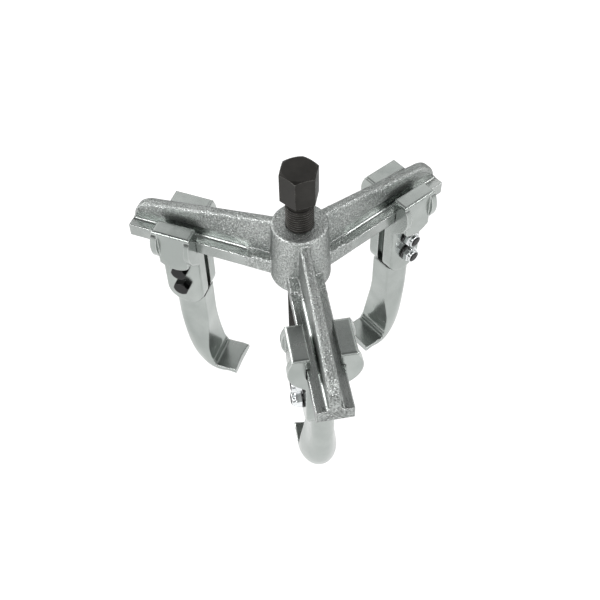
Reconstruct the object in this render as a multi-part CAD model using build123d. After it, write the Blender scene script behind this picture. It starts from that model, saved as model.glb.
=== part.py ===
from build123d import *
import math
import os

# Three-arm gear puller, millimetres, +Z up along the screw. The pieces are drawn
# with z = 0 at the flat underside of the arms, and the finished parts are raised so
# that the origin is the tip of the screw. The arms point 120 degrees apart.

# ---- arms and sliding legs -------------------------------------------------
LEGS = {"left": 150.0, "right": 30.0, "front": 270.0}  # direction of each arm
LEG_AT = {"left": 64.3, "right": 68.0, "front": 57.2}  # leg's distance from the axis

# ---- spider (hub and arms, one forging) ------------------------------------
HUB_R = 14.0             # radius at the hub's top ...
HUB_LOW_R = 15.6         # ... and at its bottom, wider by the forging's draft
HUB_TOP = 32.9
HUB_BOTTOM = -4.0
HUB_EDGE = 1.3           # rounding of the hub's top rim
HUB_LOW_EDGE = 2.6
ARM_END = 91.6           # axis to the end of an arm
FLANGE_HALF = 8.93       # half the width of the machined flange
FLANGE_TOP = 7.4
CAST_HALF = 9.05         # the flange as cast, next to the hub
CAST_TOP = 8.7
CAST_EDGE = 1.2
MACHINED_FROM = 26.5     # the milled tracks run from here to the arm's end
CUTTER_R = 4.2           # the milling cutter's round mark at a track's inner end
TRACK_WALL = 3.0         # half thickness of the rib between the milled tracks
TRACK_WALL_TOP = 13.6    # the milled wall on the rib ends at this height
TRACK_FILLET = 1.6
RIB_FOOT_HALF = 3.55     # the cast rib tapers from here ...
RIB_TOP_HALF = 2.45      # ... to here
RIB_TOP_AT_HUB = 30.4    # the rib's top edge at RIB_SLOPE_FROM
RIB_SLOPE_FROM = 15.0
RIB_SLOPE = 8.9          # from there the top slopes down outwards, degrees
RIB_BASE = 5.0           # the rib starts inside the flange
NOSE_R = 12.6            # quarter round at the rib's outer end
RIB_EDGE = 1.7
WEB_FILLET = 4.5         # plan fillet between the ribs and the hub
WEB_REACH = 22.0         # the fillets' webs end inside the ribs
WEB_INSET = 0.05
FLANGE_FILLET = 3.0      # plan fillet between the flanges and the hub
PLAN_INSET = 0.1         # the webs start just inside the hub's own surface

# ---- pressure screw, M14 x 1.5 ---------------------------------------------
THREAD_R = 7.0
PITCH = 1.5
THREAD_DEPTH = 0.85
RELIEF_R = 6.6
HEX_AF = 17.0            # across the flats of the head
HEX_BOTTOM = 51.1
HEX_TOP = 68.3
HEX_TURN = 9.76          # turn of the hexagon about Z, degrees
RELIEF_END = 48.3
SCREW_BOTTOM = -67.0
BORE_CLEARANCE = 0.06    # running fit of the screw in the hub

# ---- screw point -----------------------------------------------------------
POINT_TIP = -75.0
POINT_R = 5.2
POINT_SHANK_R = 2.6
POINT_SHANK = 8.0
POINT_CLEARANCE = 0.05
POINT_GAP = 0.35         # between the screw's end face and the point's collar

# ---- cheeks: side plates whose heads hook over the flange ------------------
CHEEK_IN = -10.5         # edge nearest the hub, from the leg's centre
CHEEK_OUT = 10.9
CHEEK_INNER = 2.2        # faces the tang
CHEEK_OUTER = 9.2
SLOT_GAP = 0.4           # clearance around the flange
JAW_INNER = 7.2          # the jaw above the flange reaches in to here
HEAD_TOP = 15.0
HEAD_FACE = 15.8         # flat panel between the two rounded ends
HEAD_BULGE = 18.0        # crown of the rounded ends
HEAD_CROWN_Z = 4.2
WING_DROP = 1.7          # the rounded ends start this far below the top
HEAD_EDGE = 1.3          # rounding of the top's outer edges
NECK_EDGE = 1.5
HEAD_BOTTOM = -7.2       # the rounded ends meet the neck near here
HEAD_NECK = 11.6
PANEL_FROM = -7.4
PANEL_TO = 7.6
PANEL_SIDE_Z = -6.6      # lower rim of the panel at its sides ...
PANEL_LOW_Z = -10.4      # ... and at its middle
TONGUE_R = 10.9          # rounded lower end of the cheek
TONGUE_Z = -35.0

# ---- claws -----------------------------------------------------------------
STEM_HALF = 6.2
STEM_SIDE = 14.0         # straight side of the stem's section, then a rounded back
HOOK_TOP = -60.0         # the stem is straight down to here
HOOK_SECTIONS = 14
CLAW_EDGE = 1.1          # rounding of the long edges on the inner side
CLAW_IN = -9.6
CLAW_BACK = 9.7
TANG_HALF = 2.15
TANG_IN = -6.6
TANG_OUT = 8.4
TANG_TOP = -1.2
SEAT_GAP = 0.3           # around the cheek's rounded end
FOOT_TIP = -26.1         # tip of the claw, from the leg's centre
FOOT_TIP_Z = -99.6
FOOT_RAKE = 5.0          # the grip face rises towards its tip, degrees
FOOT_START = -12.4       # the grip face starts here
FOOT_HALF = 10.2
FOOT_SIDE = 2.8
FOOT_STEP_R = 1.0
TIP_HOLLOW_R = 55.0      # the tip's edge is slightly concave

# ---- leg fasteners, M5 -----------------------------------------------------
BOLT_X = 0.9             # from the leg's centre
BOLT_Z = {"upper": -18.5, "lower": -31.0}
BOLT_R = 2.5
HOLE_R = 2.65
BOLT_AF = 8.0
BOLT_HEAD = 3.5
WASHER_R = 5.0
WASHER_T = 1.0
NUT_HEX = 3.2            # height of the nut's hexagon
NUT_COLLAR = 1.8         # height of its round collar
NUT_COLLAR_R = 3.7
INSERT_R = 3.15
BOLT_TAIL = 0.4          # the thread shows this much past the nut


def chamfered_hexagon(across_flats, height, turn):
    """A hexagonal prism whose upper corners are turned off at 30 degrees."""
    corner = across_flats / math.sqrt(3)
    prism = extrude(RegularPolygon(corner, 6, rotation=turn), height)
    flat_r = across_flats / 2 * 0.95
    wide_r = corner + 1
    drop = (wide_r - flat_r) * math.tan(math.radians(30))
    outline = Polyline((0, 0), (wide_r, 0), (wide_r, height - drop), (flat_r, height),
                       (0, height), close=True)
    return prism & revolve(Plane.XZ * make_face(outline), Axis.Z)


def side_plate(outline, half):
    """Extrudes an (x, z) face to both sides of y = 0."""
    return extrude(Plane.XZ * outline, half, both=True)


def around(shape):
    """The same shape on each of the three arms."""
    return [Rot(0, 0, angle) * shape for angle in LEGS.values()]


def rib_outline():
    """(x, z) outline of a rib: a gentle slope that runs into a quarter round."""
    end_x = ARM_END - 0.4
    slope = math.radians(RIB_SLOPE)
    nose_x = end_x - NOSE_R
    nose_z = RIB_TOP_AT_HUB - (nose_x - RIB_SLOPE_FROM) * math.tan(slope) - NOSE_R / math.cos(slope)

    def on_nose(angle):
        return (nose_x + NOSE_R * math.cos(angle), nose_z + NOSE_R * math.sin(angle))

    start = on_nose(math.pi / 2 - slope)
    edges = [
        Line((0, RIB_BASE), (0, RIB_TOP_AT_HUB)),
        Line((0, RIB_TOP_AT_HUB), (RIB_SLOPE_FROM, RIB_TOP_AT_HUB)),
        Line((RIB_SLOPE_FROM, RIB_TOP_AT_HUB), start),
        ThreePointArc(start, on_nose(math.pi / 4), on_nose(0)),
        Line(on_nose(0), (end_x, RIB_BASE)),
        Line((end_x, RIB_BASE), (0, RIB_BASE)),
    ]
    return make_face(Curve() + edges)


def rib():
    """A tapered rib with a rounded top, thicker at its foot."""
    section = make_face(Polyline(
        (-RIB_FOOT_HALF, RIB_BASE), (-RIB_TOP_HALF, RIB_TOP_AT_HUB),
        (RIB_TOP_HALF, RIB_TOP_AT_HUB), (RIB_FOOT_HALF, RIB_BASE), close=True))
    shape = extrude(Plane.YZ * section, ARM_END) & side_plate(rib_outline(), HUB_R)
    outer = shape.edges().filter_by(lambda e: e.center().X > RIB_SLOPE_FROM + 1)
    rims = outer.filter_by(lambda e: abs(e.center().Y) > 1 and e.center().Z > RIB_BASE + 0.1)
    return fillet(rims, RIB_EDGE)


def plan(half, reach, radius):
    """Hub circle and three strips in plan, with filleted inner corners."""
    shape = Circle(HUB_R - PLAN_INSET)
    for angle in LEGS.values():
        shape += Rot(0, 0, angle) * (Pos(reach / 2, 0) * Rectangle(reach, 2 * half))
    corners = [v for v in shape.vertices() if v.center().length < HUB_R + 1]
    return fillet(corners, radius)


def track_cut(sign):
    """One milled track: flat floor, wall on the rib, slanted run-out at the hub."""
    outline = make_face(Polyline(
        (MACHINED_FROM, FLANGE_TOP),
        (ARM_END + 5, FLANGE_TOP),
        (ARM_END + 5, TRACK_WALL_TOP),
        (MACHINED_FROM + 11, TRACK_WALL_TOP),
        close=True,
    ))
    wall = Pos(0, sign * (TRACK_WALL + 10), 0) * side_plate(outline, 10)
    foot = wall.edges().filter_by(Axis.X).group_by(Axis.Z)[0]
    inner = sorted(foot, key=lambda e: abs(e.center().Y))[:1]
    mark = Pos(MACHINED_FROM + 0.5, sign * (RIB_FOOT_HALF + CUTTER_R), FLANGE_TOP) * Cylinder(
        CUTTER_R, 2 * CAST_TOP, align=(Align.CENTER, Align.CENTER, Align.MIN))
    return fillet(inner, TRACK_FILLET) + mark


def make_hub():
    """The hub's boss, rounded at its top and bottom rims."""
    boss = Pos(0, 0, HUB_BOTTOM) * Cone(
        HUB_LOW_R, HUB_R, HUB_TOP - HUB_BOTTOM, align=(Align.CENTER, Align.CENTER, Align.MIN))
    boss = fillet(boss.edges().filter_by(GeomType.CIRCLE).sort_by(Axis.Z)[-1], HUB_EDGE)
    return fillet(boss.edges().filter_by(GeomType.CIRCLE).sort_by(Axis.Z)[0], HUB_LOW_EDGE)


def make_spider():
    cast = extrude(plan(CAST_HALF, ARM_END, FLANGE_FILLET), CAST_TOP)
    cast = fillet(cast.faces().sort_by(Axis.Z)[-1].outer_wire().edges(), CAST_EDGE)
    side_length = ARM_END + 10 - MACHINED_FROM
    machined_side = [
        Pos(MACHINED_FROM + side_length / 2, sign * (FLANGE_HALF + 5), 0)
        * Box(side_length, 10, 3 * CAST_TOP)
        for sign in (1, -1)
    ]
    draft = (RIB_FOOT_HALF - RIB_TOP_HALF) / (RIB_TOP_AT_HUB - RIB_BASE)
    foot_half = RIB_FOOT_HALF + draft * RIB_BASE - WEB_INSET
    webs = extrude(plan(foot_half, WEB_REACH, WEB_FILLET), RIB_TOP_AT_HUB - RIB_EDGE,
                   taper=math.degrees(math.atan(draft)))
    body = cast + webs + around(rib()) + make_hub()
    for sign in (1, -1):
        body -= around(track_cut(sign))
    for side in machined_side:
        body -= around(side)
    bore = Cylinder(THREAD_R + BORE_CLEARANCE, 3 * HUB_TOP)
    return body - bore


def thread_outline():
    """Half section of the screw: hexagon left out, thread as close ridges."""
    root = THREAD_R - THREAD_DEPTH
    points = [(0, HEX_BOTTOM + 1), (RELIEF_R, HEX_BOTTOM + 1), (RELIEF_R, RELIEF_END)]
    turns = int((RELIEF_END - SCREW_BOTTOM - 2) / PITCH)
    flat = PITCH / 8
    flank = (PITCH - 2 * flat) / 2
    z = RELIEF_END
    for _ in range(turns):
        points += [(root, z), (root, z - flat), (THREAD_R, z - flat - flank),
                   (THREAD_R, z - 2 * flat - flank)]
        z -= PITCH
    points += [(root, z), (root, SCREW_BOTTOM + 0.8), (root - 0.8, SCREW_BOTTOM), (0, SCREW_BOTTOM)]
    return make_face(Polyline(*points, close=True))


def make_screw():
    shank = revolve(Plane.XZ * thread_outline(), Axis.Z)
    head = Pos(0, 0, HEX_BOTTOM) * chamfered_hexagon(HEX_AF, HEX_TOP - HEX_BOTTOM, HEX_TURN)
    socket_r = POINT_SHANK_R + POINT_CLEARANCE
    socket = Pos(0, 0, SCREW_BOTTOM - 1) * Cylinder(
        socket_r, POINT_SHANK + 1 + POINT_GAP, align=(Align.CENTER, Align.CENTER, Align.MIN))
    return shank + head - socket


def make_point():
    collar = SCREW_BOTTOM - POINT_GAP
    outline = Polyline(
        (0, SCREW_BOTTOM + POINT_SHANK), (POINT_SHANK_R, SCREW_BOTTOM + POINT_SHANK),
        (POINT_SHANK_R, collar), (POINT_R, collar), (POINT_R, collar - 2.2),
        (1.2, POINT_TIP + 0.4), (0.8, POINT_TIP), (0, POINT_TIP), close=True)
    return revolve(Plane.XZ * make_face(outline), Axis.Z)


def cheek_section(rounded):
    """(y, z) outline of a cheek; the ends are rounded, the middle is flat."""
    slot_wall = FLANGE_HALF + SLOT_GAP
    low = TONGUE_Z - TONGUE_R - 1
    if rounded:
        wing_top = HEAD_TOP - WING_DROP
        outer = ThreePointArc((HEAD_FACE, wing_top), (HEAD_BULGE, HEAD_CROWN_Z),
                              (HEAD_NECK, HEAD_BOTTOM))
        face = [Line((JAW_INNER, HEAD_TOP), (HEAD_FACE, HEAD_TOP)),
                Line((HEAD_FACE, HEAD_TOP), (HEAD_FACE, wing_top)), outer,
                Line((HEAD_NECK, HEAD_BOTTOM), (CHEEK_OUTER, HEAD_BOTTOM - 2.4)),
                Line((CHEEK_OUTER, HEAD_BOTTOM - 2.4), (CHEEK_OUTER, low))]
    else:
        face = [Line((JAW_INNER, HEAD_TOP), (HEAD_FACE, HEAD_TOP)),
                Line((HEAD_FACE, HEAD_TOP), (HEAD_FACE, PANEL_LOW_Z)),
                Line((HEAD_FACE, PANEL_LOW_Z), (CHEEK_OUTER, PANEL_LOW_Z)),
                Line((CHEEK_OUTER, PANEL_LOW_Z), (CHEEK_OUTER, low))]
    slot = Polyline((CHEEK_OUTER, low), (CHEEK_INNER, low), (CHEEK_INNER, -SLOT_GAP),
                    (slot_wall, -SLOT_GAP), (slot_wall, FLANGE_TOP + SLOT_GAP),
                    (JAW_INNER, FLANGE_TOP + SLOT_GAP), (JAW_INNER, HEAD_TOP))
    return make_face(Curve() + face + slot.edges())


def along(section, start, end):
    """Extrudes a (y, z) face along x from start to end."""
    return Pos(start, 0, 0) * extrude(Plane.YZ * section, end - start)


def cheek_outline():
    """(x, z) outline that rounds the cheek's lower end."""
    middle = (CHEEK_IN + CHEEK_OUT) / 2
    lower = [Line((CHEEK_IN, HEAD_TOP + 1), (CHEEK_IN, TONGUE_Z)),
             ThreePointArc((CHEEK_IN, TONGUE_Z), (middle, TONGUE_Z - TONGUE_R), (CHEEK_OUT, TONGUE_Z)),
             Line((CHEEK_OUT, TONGUE_Z), (CHEEK_OUT, HEAD_TOP + 1)),
             Line((CHEEK_OUT, HEAD_TOP + 1), (CHEEK_IN, HEAD_TOP + 1))]
    return make_face(Curve() + lower)


def panel_outline():
    """(x, z) outline of the flat panel, with its curved lower rim."""
    lower = [Line((PANEL_FROM - 1, HEAD_TOP), (PANEL_FROM - 1, PANEL_SIDE_Z)),
             ThreePointArc((PANEL_FROM - 1, PANEL_SIDE_Z), (0, PANEL_LOW_Z), (PANEL_TO + 1, PANEL_SIDE_Z)),
             Line((PANEL_TO + 1, PANEL_SIDE_Z), (PANEL_TO + 1, HEAD_TOP)),
             Line((PANEL_TO + 1, HEAD_TOP), (PANEL_FROM - 1, HEAD_TOP))]
    return make_face(Curve() + lower)


def round_cheek(shape):
    """Rounds the head's top edges and the outer edge of the neck and tongue."""
    face = shape.edges().filter_by(lambda e: abs(e.center().Y - CHEEK_OUTER) < 0.01)
    sides = face.filter_by(Axis.Z).filter_by(lambda e: e.center().Z < HEAD_BOTTOM - NECK_EDGE)
    tongue = face.filter_by(lambda e: e.center().Z < TONGUE_Z - TONGUE_R / 2)
    shape = fillet(sides + tongue, NECK_EDGE)
    top = shape.edges().group_by(Axis.Z)[-1]
    return fillet(top.filter_by(lambda e: e.center().Y > JAW_INNER + 1), HEAD_EDGE)


def make_cheek():
    ends = [along(cheek_section(True), CHEEK_IN, PANEL_FROM),
            along(cheek_section(True), PANEL_TO, CHEEK_OUT)]
    middle = along(cheek_section(False), PANEL_FROM - 0.5, PANEL_TO + 0.5)
    keep = side_plate(panel_outline(), 30) + Box(60, 2 * CHEEK_OUTER, 120)
    shape = (middle & keep) + ends
    shape = round_cheek(shape & side_plate(cheek_outline(), 30))
    for z in BOLT_Z.values():
        shape -= Pos(BOLT_X, 10, z) * Rot(90, 0, 0) * Cylinder(HOLE_R, 40)
    return shape


def claw_section(inner, outer, half, side):
    """A section across the claw: flat towards the work, rounded at the back."""
    start, end = Vector(inner), Vector(outer)
    depth = (end - start).length
    away = Vector(end.X - start.X, 0, end.Y - start.Y)
    plane = Plane(origin=(start.X, 0, start.Y), x_dir=away, z_dir=Vector(0, 1, 0).cross(away))
    flat = half - CLAW_EDGE
    bend = CLAW_EDGE * (1 - math.sqrt(0.5))
    edges = [
        Line((0, flat), (0, -flat)),
        ThreePointArc((0, -flat), (bend, bend - half), (CLAW_EDGE, -half)),
        Line((CLAW_EDGE, -half), (side, -half)),
        EllipticalCenterArc((side, 0), depth - side, half, start_angle=-90, arc_size=180),
        Line((side, half), (CLAW_EDGE, half)),
        ThreePointArc((CLAW_EDGE, half), (bend, half - bend), (0, flat)),
    ]
    return plane * make_face(Curve() + edges)


def ease(value, start, end):
    """Rises smoothly from 0 to 1 between start and end."""
    x = min(max((value - start) / (end - start), 0.0), 1.0)
    return x * x * (3 - 2 * x)


def claw_hook():
    """The curved part of a claw, lofted along its inner and outer outlines."""
    down, inwards = (0, -1), (-1, 0.1)
    inner = Spline((CLAW_IN, HOOK_TOP), (-9.4, -74), (-9.4, -85), (-10.3, -93), (-13, -98.8),
                   (-18, -99.6), (FOOT_TIP - 1, -98.6), tangents=(down, inwards))
    outer = Spline((CLAW_BACK, HOOK_TOP), (8.4, -79), (5.4, -94), (-0.6, -104.6),
                   (-9.5, -109.2), (-18.5, -107.3), (FOOT_TIP - 1, -103.4), tangents=(down, (-1, 0.45)))
    sections = []
    for step in range(HOOK_SECTIONS):
        u = step / (HOOK_SECTIONS - 1)
        half = STEM_HALF + (FOOT_HALF - STEM_HALF) * ease(u, 0.0, 0.62)
        side = STEM_SIDE + (FOOT_SIDE - STEM_SIDE) * ease(u, 0.0, 0.68)
        sections.append(claw_section(inner @ u, outer @ u, half, side))
    return loft(sections)


def make_claw():
    stem = extrude(claw_section((CLAW_IN, HOOK_TOP), (CLAW_BACK, HOOK_TOP), STEM_HALF, STEM_SIDE),
                   -HOOK_TOP, dir=(0, 0, 1))
    middle = (CHEEK_IN + CHEEK_OUT) / 2
    seat_r = TONGUE_R + SEAT_GAP
    seat = Pos(middle, 0, TONGUE_Z) * Rot(90, 0, 0) * Cylinder(seat_r, 60)
    seat += Pos(middle, 0, TONGUE_Z + 50) * Box(2 * seat_r, 60, 100)
    body = stem - seat + claw_hook()
    body += Pos((TANG_IN + TANG_OUT) / 2, 0, (TANG_TOP + TONGUE_Z - TONGUE_R - 4) / 2) * Box(
        TANG_OUT - TANG_IN, 2 * TANG_HALF, TANG_TOP - TONGUE_Z + TONGUE_R + 4)
    rise = math.tan(math.radians(FOOT_RAKE))
    grip = make_face(Polyline(
        (FOOT_START, FOOT_TIP_Z - rise * (FOOT_START - FOOT_TIP)),
        (FOOT_TIP - 10, FOOT_TIP_Z + rise * 10), (FOOT_TIP - 10, -85), (FOOT_START, -85), close=True))
    cutter = side_plate(grip, 15)
    corner = cutter.edges().filter_by(Axis.Y).sort_by(Axis.Z)[0]
    body -= fillet(corner, FOOT_STEP_R)
    hollow = math.sqrt(TIP_HOLLOW_R ** 2 - FOOT_HALF ** 2)
    body -= Pos(FOOT_TIP - hollow, 0, -100) * Cylinder(TIP_HOLLOW_R, 30)
    for z in BOLT_Z.values():
        body -= Pos(BOLT_X, 0, z) * Rot(90, 0, 0) * Cylinder(HOLE_R, 40)
    return body


def on_bolt_axis(shape, z, y=0.0):
    """Places a shape drawn along +Z so that it points along +Y on a bolt's axis."""
    return Pos(BOLT_X, y, z) * Rot(-90, 0, 0) * shape


def make_bolt(z):
    grip = 2 * CHEEK_OUTER + WASHER_T + NUT_HEX + NUT_COLLAR + BOLT_TAIL
    shank = Pos(0, 0, CHEEK_OUTER - grip) * Cylinder(
        BOLT_R, grip, align=(Align.CENTER, Align.CENTER, Align.MIN))
    shank = chamfer(shank.edges().group_by(Axis.Z)[0], 0.5)
    head = Pos(0, 0, CHEEK_OUTER) * chamfered_hexagon(BOLT_AF, BOLT_HEAD, 10)
    return on_bolt_axis(shank + head, z)


def make_washer(z):
    ring = Pos(0, 0, -CHEEK_OUTER - WASHER_T) * Cylinder(
        WASHER_R, WASHER_T, align=(Align.CENTER, Align.CENTER, Align.MIN))
    ring -= Cylinder(HOLE_R, 40)
    return on_bolt_axis(ring, z)


def make_nut(z, turn):
    seat = -CHEEK_OUTER - WASHER_T
    hexagonal = Rot(180, 0, 0) * chamfered_hexagon(BOLT_AF, NUT_HEX, turn)
    collar = Pos(0, 0, -NUT_HEX - NUT_COLLAR) * Cylinder(
        NUT_COLLAR_R, NUT_COLLAR, align=(Align.CENTER, Align.CENTER, Align.MIN))
    collar = fillet(collar.edges().group_by(Axis.Z)[0], 0.6)
    body = hexagonal + collar
    body -= Pos(0, 0, -NUT_HEX - NUT_COLLAR / 2 - 0.2) * Cylinder(INSERT_R, NUT_COLLAR + 0.8)
    body -= Cylinder(BOLT_R + 0.02, 40)
    return on_bolt_axis(Pos(0, 0, seat) * body, z)


def make_insert(z):
    seat = -CHEEK_OUTER - WASHER_T
    depth = NUT_COLLAR - 0.1
    ring = Pos(0, 0, seat - NUT_HEX - 0.1) * Cylinder(
        INSERT_R, depth, align=(Align.CENTER, Align.CENTER, Align.MAX))
    ring -= Cylinder(BOLT_R + 0.02, 40)
    return on_bolt_axis(ring, z)


def leg_parts():
    """Every piece of a leg, about its own centre, with x pointing outwards."""
    cheek = make_cheek()
    parts = {
        "claw": make_claw(),
        "bolt_side_cheek": cheek,
        "nut_side_cheek": mirror(cheek, about=Plane.XZ),
    }
    for turn, (level, z) in enumerate(BOLT_Z.items()):
        parts[f"{level}_bolt"] = make_bolt(z)
        parts[f"{level}_washer"] = make_washer(z)
        parts[f"{level}_nut"] = make_nut(z, 12 + 17 * turn)
        parts[f"{level}_insert"] = make_insert(z)
    return parts


os.makedirs("parts", exist_ok=True)
nodes = {
    "spider": make_spider(),
    "pressure_screw": make_screw(),
    "screw_point": make_point(),
}
leg = leg_parts()
for leg_name, angle in LEGS.items():
    place = Rot(0, 0, angle) * Pos(LEG_AT[leg_name], 0, 0)
    for part_name, shape in leg.items():
        nodes[f"{leg_name}_{part_name}"] = place * shape

for name, shape in nodes.items():
    export_step(Pos(0, 0, -POINT_TIP) * shape, f"parts/{name}.step")
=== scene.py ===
import math

import bmesh
import bpy
from mathutils import Matrix, Vector


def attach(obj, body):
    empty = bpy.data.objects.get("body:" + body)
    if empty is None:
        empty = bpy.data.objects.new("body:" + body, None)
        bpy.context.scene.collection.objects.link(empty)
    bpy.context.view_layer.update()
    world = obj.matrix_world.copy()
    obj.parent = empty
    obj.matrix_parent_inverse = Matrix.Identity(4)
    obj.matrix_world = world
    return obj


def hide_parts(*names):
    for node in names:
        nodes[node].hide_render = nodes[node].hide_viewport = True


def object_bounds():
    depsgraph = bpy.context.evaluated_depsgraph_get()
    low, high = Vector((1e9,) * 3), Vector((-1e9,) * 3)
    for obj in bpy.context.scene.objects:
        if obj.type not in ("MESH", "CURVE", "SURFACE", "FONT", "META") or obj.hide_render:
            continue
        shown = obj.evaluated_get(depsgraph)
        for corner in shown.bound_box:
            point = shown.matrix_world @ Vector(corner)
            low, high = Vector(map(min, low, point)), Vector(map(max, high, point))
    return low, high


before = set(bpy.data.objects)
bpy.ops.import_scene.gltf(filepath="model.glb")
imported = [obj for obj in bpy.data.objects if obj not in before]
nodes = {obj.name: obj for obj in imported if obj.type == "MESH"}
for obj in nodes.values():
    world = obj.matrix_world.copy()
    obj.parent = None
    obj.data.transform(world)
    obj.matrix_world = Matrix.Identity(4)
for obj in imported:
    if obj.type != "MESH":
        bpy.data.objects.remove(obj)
cad_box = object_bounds()

# Gear puller, metres. The origin is the screw's tip, +Z runs up the screw, and the
# arms point to 30, 150 and 270 degrees.

MM = 0.001
ARM_UNDERSIDE = 75 * MM      # height of the arms' flat underside
FLOOR_Z = cad_box[0][2]

# ---- forging: where the milled tracks lie on each arm ----------------------
ARM_STEP = 120                              # degrees from one arm to the next
ARM_PHASE = 30                              # degrees that centre an arm's sector on zero
TRACK_TOP = (13.9 * MM, 13.3 * MM)          # above the underside: cast, then milled
TRACK_START = (26.2 * MM, 27.4 * MM)        # from the screw: cast, then milled
TRACK_END = (91.5 * MM, 91.2 * MM)          # from the screw: cast end face, then milled
NOSE_START = (84 * MM, 89 * MM)             # from the screw: where forging scale fades in
NOSE_HALF = (7.5 * MM, 5.0 * MM)            # each side of the arm's middle: clean, then scaled

# ---- camera ----------------------------------------------------------------
CAM_AZIMUTH, CAM_ELEVATION, CAM_ROLL = -8.97, 51.9, -1.12
CAM_DISTANCE = 466.91 * MM
CAM_TARGET = Vector((-3.99 * MM, -21.35 * MM, ARM_UNDERSIDE))
CAM_LENS = 56.55

# ---- pressure screw, M14 x 1.5 ---------------------------------------------
THREAD_R, ROOT_R, PITCH = 7.0 * MM, 6.15 * MM, 1.5 * MM
THREAD_FROM, THREAD_TO = 9.6 * MM, 122.4 * MM
BORE_CLEAR_R = 5.0 * MM      # inside this radius lies the hole for the screw point
CORE_OVERLAP = 1.0 * MM      # how far the core runs past each end of the thread
TURN_STEPS = 48


# ---- node helpers ----------------------------------------------------------
class Graph:
    """A material's node tree, with short calls for the nodes used here."""

    def __init__(self, name):
        self.material = bpy.data.materials.new(name)
        self.material.use_nodes = True
        self.tree = self.material.node_tree
        self.shader = self.tree.nodes["Principled BSDF"]

    def add(self, kind, inputs=(), **settings):
        node = self.tree.nodes.new(kind)
        for key, value in settings.items():
            setattr(node, key, value)
        for key, value in dict(inputs).items():
            self.put(node.inputs[key], value)
        return node

    def put(self, socket, value):
        if isinstance(value, bpy.types.NodeSocket):
            self.tree.links.new(value, socket)
        else:
            socket.default_value = value

    def math(self, operation, a, b=0.0):
        return self.add("ShaderNodeMath", {0: a, 1: b}, operation=operation).outputs[0]

    def ramp(self, value, low, high, out_low=0.0, out_high=1.0):
        return self.add("ShaderNodeMapRange", {
            "Value": value, "From Min": low, "From Max": high,
            "To Min": out_low, "To Max": out_high}).outputs["Result"]

    def noise(self, vector, scale, detail=3.0, roughness=0.55):
        return self.add("ShaderNodeTexNoise", {
            "Vector": vector, "Scale": scale, "Detail": detail,
            "Roughness": roughness}).outputs["Fac"]

    def mix(self, factor, a, b):
        node = self.add("ShaderNodeMix", data_type="RGBA")
        self.put(node.inputs[0], factor)
        self.put(node.inputs[6], a)
        self.put(node.inputs[7], b)
        return node.outputs[2]

    def blend(self, factor, a, b):
        node = self.add("ShaderNodeMix", data_type="FLOAT")
        self.put(node.inputs[0], factor)
        self.put(node.inputs[2], a)
        self.put(node.inputs[3], b)
        return node.outputs[0]

    def place(self):
        return self.add("ShaderNodeTexCoord").outputs["Object"]

    def edge(self, radius):
        """Rounded-edge normal, and a mask that is 1 on convex and concave edges."""
        bevel = self.add("ShaderNodeBevel", {"Radius": radius}, samples=6)
        flat = self.add("ShaderNodeNewGeometry").outputs["Normal"]
        dot = self.add("ShaderNodeVectorMath", {0: bevel.outputs[0], 1: flat},
                       operation="DOT_PRODUCT")
        return bevel.outputs[0], self.ramp(dot.outputs["Value"], 0.995, 0.86)

    def bump(self, height, distance, normal, strength):
        return self.add("ShaderNodeBump", {
            "Height": height, "Distance": distance, "Normal": normal,
            "Strength": strength}).outputs["Normal"]

    def finish(self, **values):
        for key, value in values.items():
            self.put(self.shader.inputs[key.replace("_", " ")], value)
        return self.material


def arm_coordinates(graph, place):
    """Distance along the nearest arm, and offset across it, in metres."""
    split = graph.add("ShaderNodeSeparateXYZ", {0: place})
    x, y, z = split.outputs
    angle = graph.math("ARCTAN2", y, x)
    turned = graph.math("ADD", angle, math.radians(ARM_PHASE))
    folded = graph.math("SUBTRACT", graph.math("FLOORED_MODULO", turned, math.radians(ARM_STEP)),
                        math.radians(ARM_STEP / 2))
    radius = graph.math("SQRT", graph.math("ADD", graph.math("MULTIPLY", x, x),
                                           graph.math("MULTIPLY", y, y)))
    return (graph.math("MULTIPLY", radius, graph.math("COSINE", folded)),
            graph.math("MULTIPLY", radius, graph.math("SINE", folded)), z)


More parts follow.
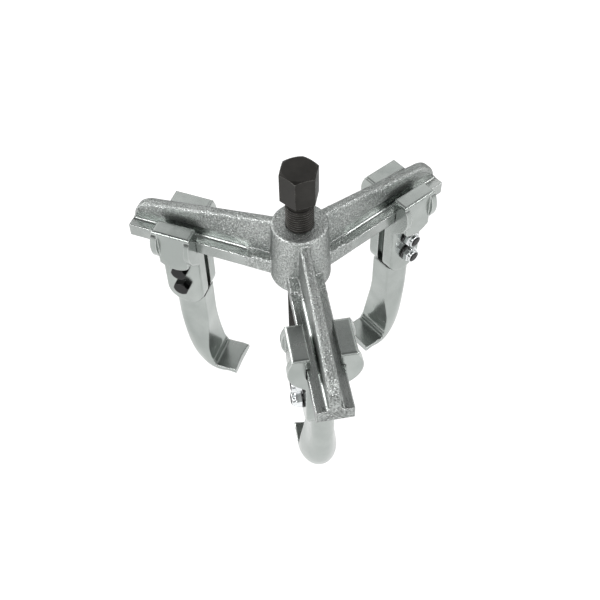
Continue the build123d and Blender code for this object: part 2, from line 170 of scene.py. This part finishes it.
# ---- materials -------------------------------------------------------------
def forged_steel():
    """Plated forging: grainy skin with painted shade in its pits and painted glints, smoother milled
    tracks, dark scale at the arms' noses, and painted highlights on the edges.
    """
    g = Graph("plated_forging")
    place = g.place()
    along, across, z = arm_coordinates(g, place)
    low = g.ramp(z, ARM_UNDERSIDE + TRACK_TOP[0], ARM_UNDERSIDE + TRACK_TOP[1])
    out = g.ramp(along, *TRACK_START)
    end = g.ramp(along, *TRACK_END)
    milled = g.math("MULTIPLY", g.math("MULTIPLY", low, out), end)
    cast = g.math("SUBTRACT", 1.0, milled)

    broad = g.noise(place, 45.0, 4.0)
    grain = g.noise(place, 1250.0, 3.0, 0.6)
    pits = g.add("ShaderNodeTexVoronoi", {"Vector": place, "Scale": 1100.0}).outputs["Distance"]
    stretched = g.add("ShaderNodeCombineXYZ", {
        0: g.math("MULTIPLY", along, 0.06), 1: across, 2: z}).outputs[0]
    lines = g.noise(stretched, 3000.0, 2.0)

    rounded, edges = g.edge(0.9 * MM)
    cast_normal = g.bump(g.math("ADD", grain, g.math("MULTIPLY", pits, 0.5)), 0.40 * MM, rounded,
                         g.blend(milled, 1.0, 0.05))
    normal = g.bump(g.math("MULTIPLY", lines, milled), 0.03 * MM, cast_normal, 0.5)

    colour = g.mix(g.ramp(broad, 0.35, 0.68), (0.33, 0.35, 0.338, 1), (0.46, 0.48, 0.466, 1))
    # Dark specks on the cast skin: painted shade in the grain's pits.
    dark = g.math("MULTIPLY", g.ramp(grain, 0.48, 0.36), cast)
    colour = g.mix(g.math("MULTIPLY", dark, 0.7), colour, (0.16, 0.165, 0.16, 1))
    # Bright specks on the cast skin: painted glints, light caught by the grain painted into the
    # colour.
    painted_glints = g.math("MULTIPLY", g.ramp(grain, 0.53, 0.64), cast)
    colour = g.mix(g.math("MULTIPLY", painted_glints, 0.75), colour, (0.76, 0.78, 0.77, 1))
    nose = g.math("MULTIPLY", g.ramp(along, *NOSE_START),
                  g.ramp(g.math("ABSOLUTE", across), *NOSE_HALF))
    scale = g.math("MULTIPLY", nose, g.ramp(g.noise(place, 850.0, 4.0, 0.7), 0.46, 0.58))
    colour = g.mix(g.math("MULTIPLY", scale, 0.65), colour, (0.09, 0.092, 0.09, 1))
    # Paler convex and concave edges: painted highlights on the rounded edges.
    colour = g.mix(g.math("MULTIPLY", edges, 0.5), colour, (0.78, 0.79, 0.78, 1))
    rough = g.blend(milled, g.ramp(grain, 0.3, 0.7, 0.40, 0.24),
                    g.ramp(lines, 0.3, 0.7, 0.22, 0.32))
    return g.finish(Base_Color=colour, Metallic=1.0, Roughness=rough, Normal=normal,
                    Specular_Tint=(0.45, 0.45, 0.45, 1))


def satin_steel():
    """Fine satin plating with faint scratches, handling marks and painted highlights on its edges."""
    g = Graph("satin_plating")
    place = g.place()
    broad = g.noise(place, 38.0, 4.0)
    fine = g.noise(place, 2300.0, 2.0)
    squeezed = g.add("ShaderNodeMapping", {"Vector": place, "Scale": (1.0, 1.0, 0.05)}).outputs[0]
    scratches = g.noise(squeezed, 1900.0, 2.0, 0.7)
    smudge = g.noise(place, 140.0, 5.0, 0.65)
    rounded, edges = g.edge(1.1 * MM)
    normal = g.bump(g.math("ADD", fine, g.math("MULTIPLY", scratches, 0.6)), 0.03 * MM, rounded, 0.5)
    colour = g.mix(g.ramp(broad, 0.35, 0.68), (0.32, 0.345, 0.33, 1), (0.41, 0.435, 0.418, 1))
    colour = g.mix(g.math("MULTIPLY", g.ramp(smudge, 0.60, 0.74), 0.35), colour, (0.36, 0.37, 0.36, 1))
    # Paler convex and concave edges: painted highlights on the rounded edges.
    colour = g.mix(g.math("MULTIPLY", edges, 0.45), colour, (0.82, 0.83, 0.82, 1))
    rough = g.ramp(g.math("ADD", smudge, g.math("MULTIPLY", fine, 0.25)), 0.35, 0.85, 0.17, 0.28)
    return g.finish(Base_Color=colour, Metallic=1.0, Roughness=rough, Normal=normal)


def black_oxide(name, dark, light, worn, gloss):
    """Blackened steel, greyer on its worn edges."""
    g = Graph(name)
    place = g.place()
    broad = g.noise(place, 90.0, 5.0, 0.6)
    fine = g.noise(place, 1700.0, 3.0)
    rounded, edges = g.edge(0.35 * MM)
    normal = g.bump(fine, 0.03 * MM, rounded, 0.5)
    colour = g.mix(g.ramp(broad, 0.35, 0.7), dark, light)
    wear = g.math("MULTIPLY", edges, g.ramp(g.noise(place, 420.0, 3.0), 0.30, 0.62))
    colour = g.mix(wear, colour, worn)
    rough = g.ramp(broad, 0.3, 0.7, gloss, gloss + 0.14)
    return g.finish(Base_Color=colour, Metallic=0.75, Roughness=rough, Normal=normal)


def bright_zinc():
    g = Graph("bright_zinc")
    place = g.place()
    broad = g.noise(place, 260.0, 4.0)
    fine = g.noise(place, 2600.0, 2.0)
    rounded, edges = g.edge(0.25 * MM)
    normal = g.bump(fine, 0.015 * MM, rounded, 0.4)
    colour = g.mix(g.ramp(broad, 0.35, 0.7), (0.66, 0.68, 0.69, 1), (0.83, 0.85, 0.86, 1))
    # Paler convex and concave edges: painted highlights on the rounded edges.
    colour = g.mix(g.math("MULTIPLY", edges, 0.4), colour, (0.93, 0.94, 0.95, 1))
    return g.finish(Base_Color=colour, Metallic=1.0, Roughness=g.ramp(broad, 0.3, 0.7, 0.13, 0.24),
                    Normal=normal)


def ground_steel():
    g = Graph("ground_steel")
    place = g.place()
    rings = g.add("ShaderNodeTexWave", {"Vector": place, "Scale": 900.0, "Distortion": 1.5},
                  wave_type="BANDS", bands_direction="Z").outputs["Fac"]
    rounded, edges = g.edge(0.25 * MM)
    normal = g.bump(rings, 0.02 * MM, rounded, 0.5)
    colour = g.mix(g.noise(place, 300.0), (0.22, 0.22, 0.225, 1), (0.36, 0.36, 0.365, 1))
    # Paler convex and concave edges: painted highlights on the rounded edges.
    colour = g.mix(g.math("MULTIPLY", edges, 0.5), colour, (0.6, 0.6, 0.6, 1))
    return g.finish(Base_Color=colour, Metallic=1.0, Roughness=g.ramp(rings, 0.0, 1.0, 0.24, 0.38),
                    Normal=normal)


def nylon():
    g = Graph("nylon")
    place = g.place()
    fine = g.noise(place, 1500.0, 3.0)
    rounded, _ = g.edge(0.15 * MM)
    colour = g.mix(g.noise(place, 500.0), (0.010, 0.010, 0.011, 1), (0.022, 0.022, 0.024, 1))
    return g.finish(Base_Color=colour, Roughness=g.ramp(fine, 0.3, 0.7, 0.42, 0.58),
                    Normal=g.bump(fine, 0.02 * MM, rounded, 0.5))


def floor_material():
    g = Graph("floor")
    return g.finish(Base_Color=(0.30, 0.30, 0.30, 1), Roughness=0.9, Specular_IOR_Level=0.1,
                    Emission_Color=(1, 1, 1, 1), Emission_Strength=0.84)


def dress(obj, material):
    obj.data.materials.clear()
    obj.data.materials.append(material)


# ---- the pressure screw's thread -------------------------------------------
def helical_thread():
    """Right-hand thread as one strip wound along a helix, faded out at both ends."""
    flat = PITCH / 8
    flank = (PITCH - 2 * flat) / 2
    # rise along the screw, and height from root (0) to crest (1), of one turn's section
    profile = [(0.0, 0.0), (flat, 0.0), (flat + flank, 1.0), (2 * flat + flank, 1.0)]
    turns = int((THREAD_TO - THREAD_FROM) / PITCH) - 1
    steps = turns * TURN_STEPS
    mesh = bmesh.new()
    rows = []
    for step in range(steps + 1):
        angle = 2 * math.pi * step / TURN_STEPS
        fade = min(1.0, step / TURN_STEPS, (steps - step) / TURN_STEPS)
        row = []
        for rise, height in profile:
            radius = ROOT_R + (THREAD_R - ROOT_R) * height * fade
            z = THREAD_FROM + PITCH * step / TURN_STEPS + rise
            row.append(mesh.verts.new((radius * math.cos(angle), radius * math.sin(angle), z)))
        rows.append(row)
    for step in range(steps):
        here, there = rows[step], rows[step + 1]
        for k in range(3):
            mesh.faces.new((here[k], there[k], there[k + 1], here[k + 1]))
        if step + TURN_STEPS < steps:
            above, above_next = rows[step + TURN_STEPS], rows[step + TURN_STEPS + 1]
            mesh.faces.new((here[3], there[3], above_next[0], above[0]))
    return mesh


def piece(name, mesh, material, body):
    data = bpy.data.meshes.new(name)
    mesh.to_mesh(data)
    mesh.free()
    obj = bpy.data.objects.new(name, data)
    bpy.context.scene.collection.objects.link(obj)
    dress(obj, material)
    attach(obj, body)
    return obj


def screw_shank():
    """Head, relief and ends from the CAD screw; its ridged middle gives way to the helix."""
    mesh = bmesh.new()
    mesh.from_mesh(nodes["pressure_screw"].data)
    middle = [v for v in mesh.verts
              if THREAD_FROM < v.co.z < THREAD_TO and math.hypot(v.co.x, v.co.y) > BORE_CLEAR_R]
    bmesh.ops.delete(mesh, geom=middle, context="VERTS")
    core = bmesh.ops.create_cone(
        mesh, cap_ends=True, segments=TURN_STEPS, radius1=ROOT_R, radius2=ROOT_R,
        depth=THREAD_TO - THREAD_FROM + 2 * CORE_OVERLAP,
        matrix=Matrix.Translation((0, 0, (THREAD_TO + THREAD_FROM) / 2)))
    for face in mesh.faces:
        face.smooth = False
    for vert in core["verts"]:
        for face in vert.link_faces:
            face.smooth = len(face.verts) == 4
    return mesh


# ---- dress every CAD node --------------------------------------------------
materials = {
    "spider": forged_steel(),
    "satin": satin_steel(),
    "screw": black_oxide("black_oxide_screw", (0.018, 0.017, 0.015, 1), (0.034, 0.032, 0.029, 1),
                         (0.20, 0.195, 0.185, 1), 0.34),
    "bolt": black_oxide("black_oxide_bolts", (0.004, 0.004, 0.004, 1), (0.010, 0.010, 0.010, 1),
                        (0.30, 0.30, 0.30, 1), 0.10),
    "nut": bright_zinc(),
    "point": ground_steel(),
    "nylon": nylon(),
}
material_by_last_word = {
    "spider": "spider", "screw": "screw", "point": "point", "claw": "satin", "cheek": "satin",
    "bolt": "bolt", "washer": "bolt", "nut": "nut", "insert": "nylon",
}
for name, obj in nodes.items():
    dress(obj, materials[material_by_last_word[name.split("_")[-1]]])

shank = piece("screw_body", screw_shank(), materials["screw"], "pressure_screw")
thread = piece("screw_thread", helical_thread(), materials["screw"], "pressure_screw")
for polygon in thread.data.polygons:
    polygon.use_smooth = False
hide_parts("pressure_screw")


# ---- studio ----------------------------------------------------------------
FLOOR_SIZE = 6.0
LIGHT_DISTANCE = 0.9
ROOM_STRENGTH = 1.35
# brightness of the room by the sine of the elevation
ROOM_LEVELS = {0.02: 0.03, 0.17: 0.03, 0.36: 0.80, 0.44: 1.0, 0.71: 1.0, 0.79: 0.22, 0.95: 0.14}


def softbox(name, azimuth, elevation, size, watts):
    """An oblong area light aimed at the middle of the puller."""
    light = bpy.data.lights.new(name, "AREA")
    light.shape = "RECTANGLE"
    light.size, light.size_y = size
    light.energy = watts
    obj = bpy.data.objects.new(name, light)
    a, e = math.radians(azimuth), math.radians(elevation)
    away = Vector((math.cos(a) * math.cos(e), math.sin(a) * math.cos(e), math.sin(e)))
    middle = Vector((0, 0, ARM_UNDERSIDE))
    obj.location = middle + away * LIGHT_DISTANCE
    obj.rotation_euler = away.to_track_quat("Z", "Y").to_euler()
    bpy.context.scene.collection.objects.link(obj)


def studio():
    bpy.ops.mesh.primitive_plane_add(size=FLOOR_SIZE, location=(0, 0, FLOOR_Z))
    floor = bpy.context.object
    floor.name = "floor"
    dress(floor, floor_material())

    world_light()
    softbox("left_rim", 146, 12, (0.25, 0.5), 3.0)
    softbox("key", -135, 37, (0.6, 0.12), 3.6)
    softbox("right", -35, 36, (0.5, 0.12), 2.4)


def world_light():
    """A pale room: dark low down, a bright band of windows, and a dim ceiling."""
    world = bpy.data.worlds.new("studio")
    bpy.context.scene.world = world
    world.use_nodes = True
    tree = world.node_tree
    split = tree.nodes.new("ShaderNodeSeparateXYZ")
    tree.links.new(tree.nodes.new("ShaderNodeTexCoord").outputs["Generated"], split.inputs[0])
    ramp = tree.nodes.new("ShaderNodeValToRGB")
    tree.links.new(split.outputs["Z"], ramp.inputs[0])
    stops = list(ROOM_LEVELS.items())
    for element, (height, level) in zip(ramp.color_ramp.elements, stops[:2]):
        element.position, element.color = height, (level, level, level, 1)
    for height, level in stops[2:]:
        ramp.color_ramp.elements.new(height).color = (level, level, level, 1)
    background = tree.nodes["Background"]
    tree.links.new(ramp.outputs["Color"], background.inputs["Color"])
    background.inputs["Strength"].default_value = ROOM_STRENGTH


def camera():
    azimuth, elevation, roll = (math.radians(v) for v in (CAM_AZIMUTH, CAM_ELEVATION, CAM_ROLL))
    back = Vector((math.sin(azimuth) * math.cos(elevation), -math.cos(azimuth) * math.cos(elevation),
                   math.sin(elevation)))
    right = Vector((math.cos(azimuth), math.sin(azimuth), 0))
    up = back.cross(right)
    turned_right = right * math.cos(roll) + up * math.sin(roll)
    turned_up = up * math.cos(roll) - right * math.sin(roll)
    data = bpy.data.cameras.new("camera")
    data.lens, data.sensor_width, data.clip_start = CAM_LENS, 36.0, 0.01
    obj = bpy.data.objects.new("camera", data)
    place = Matrix((turned_right, turned_up, back)).transposed().to_4x4()
    place.translation = CAM_TARGET + back * CAM_DISTANCE
    obj.matrix_world = place
    bpy.context.scene.collection.objects.link(obj)
    bpy.context.scene.camera = obj


studio()
camera()
bpy.context.scene.view_settings.view_transform = "Standard"
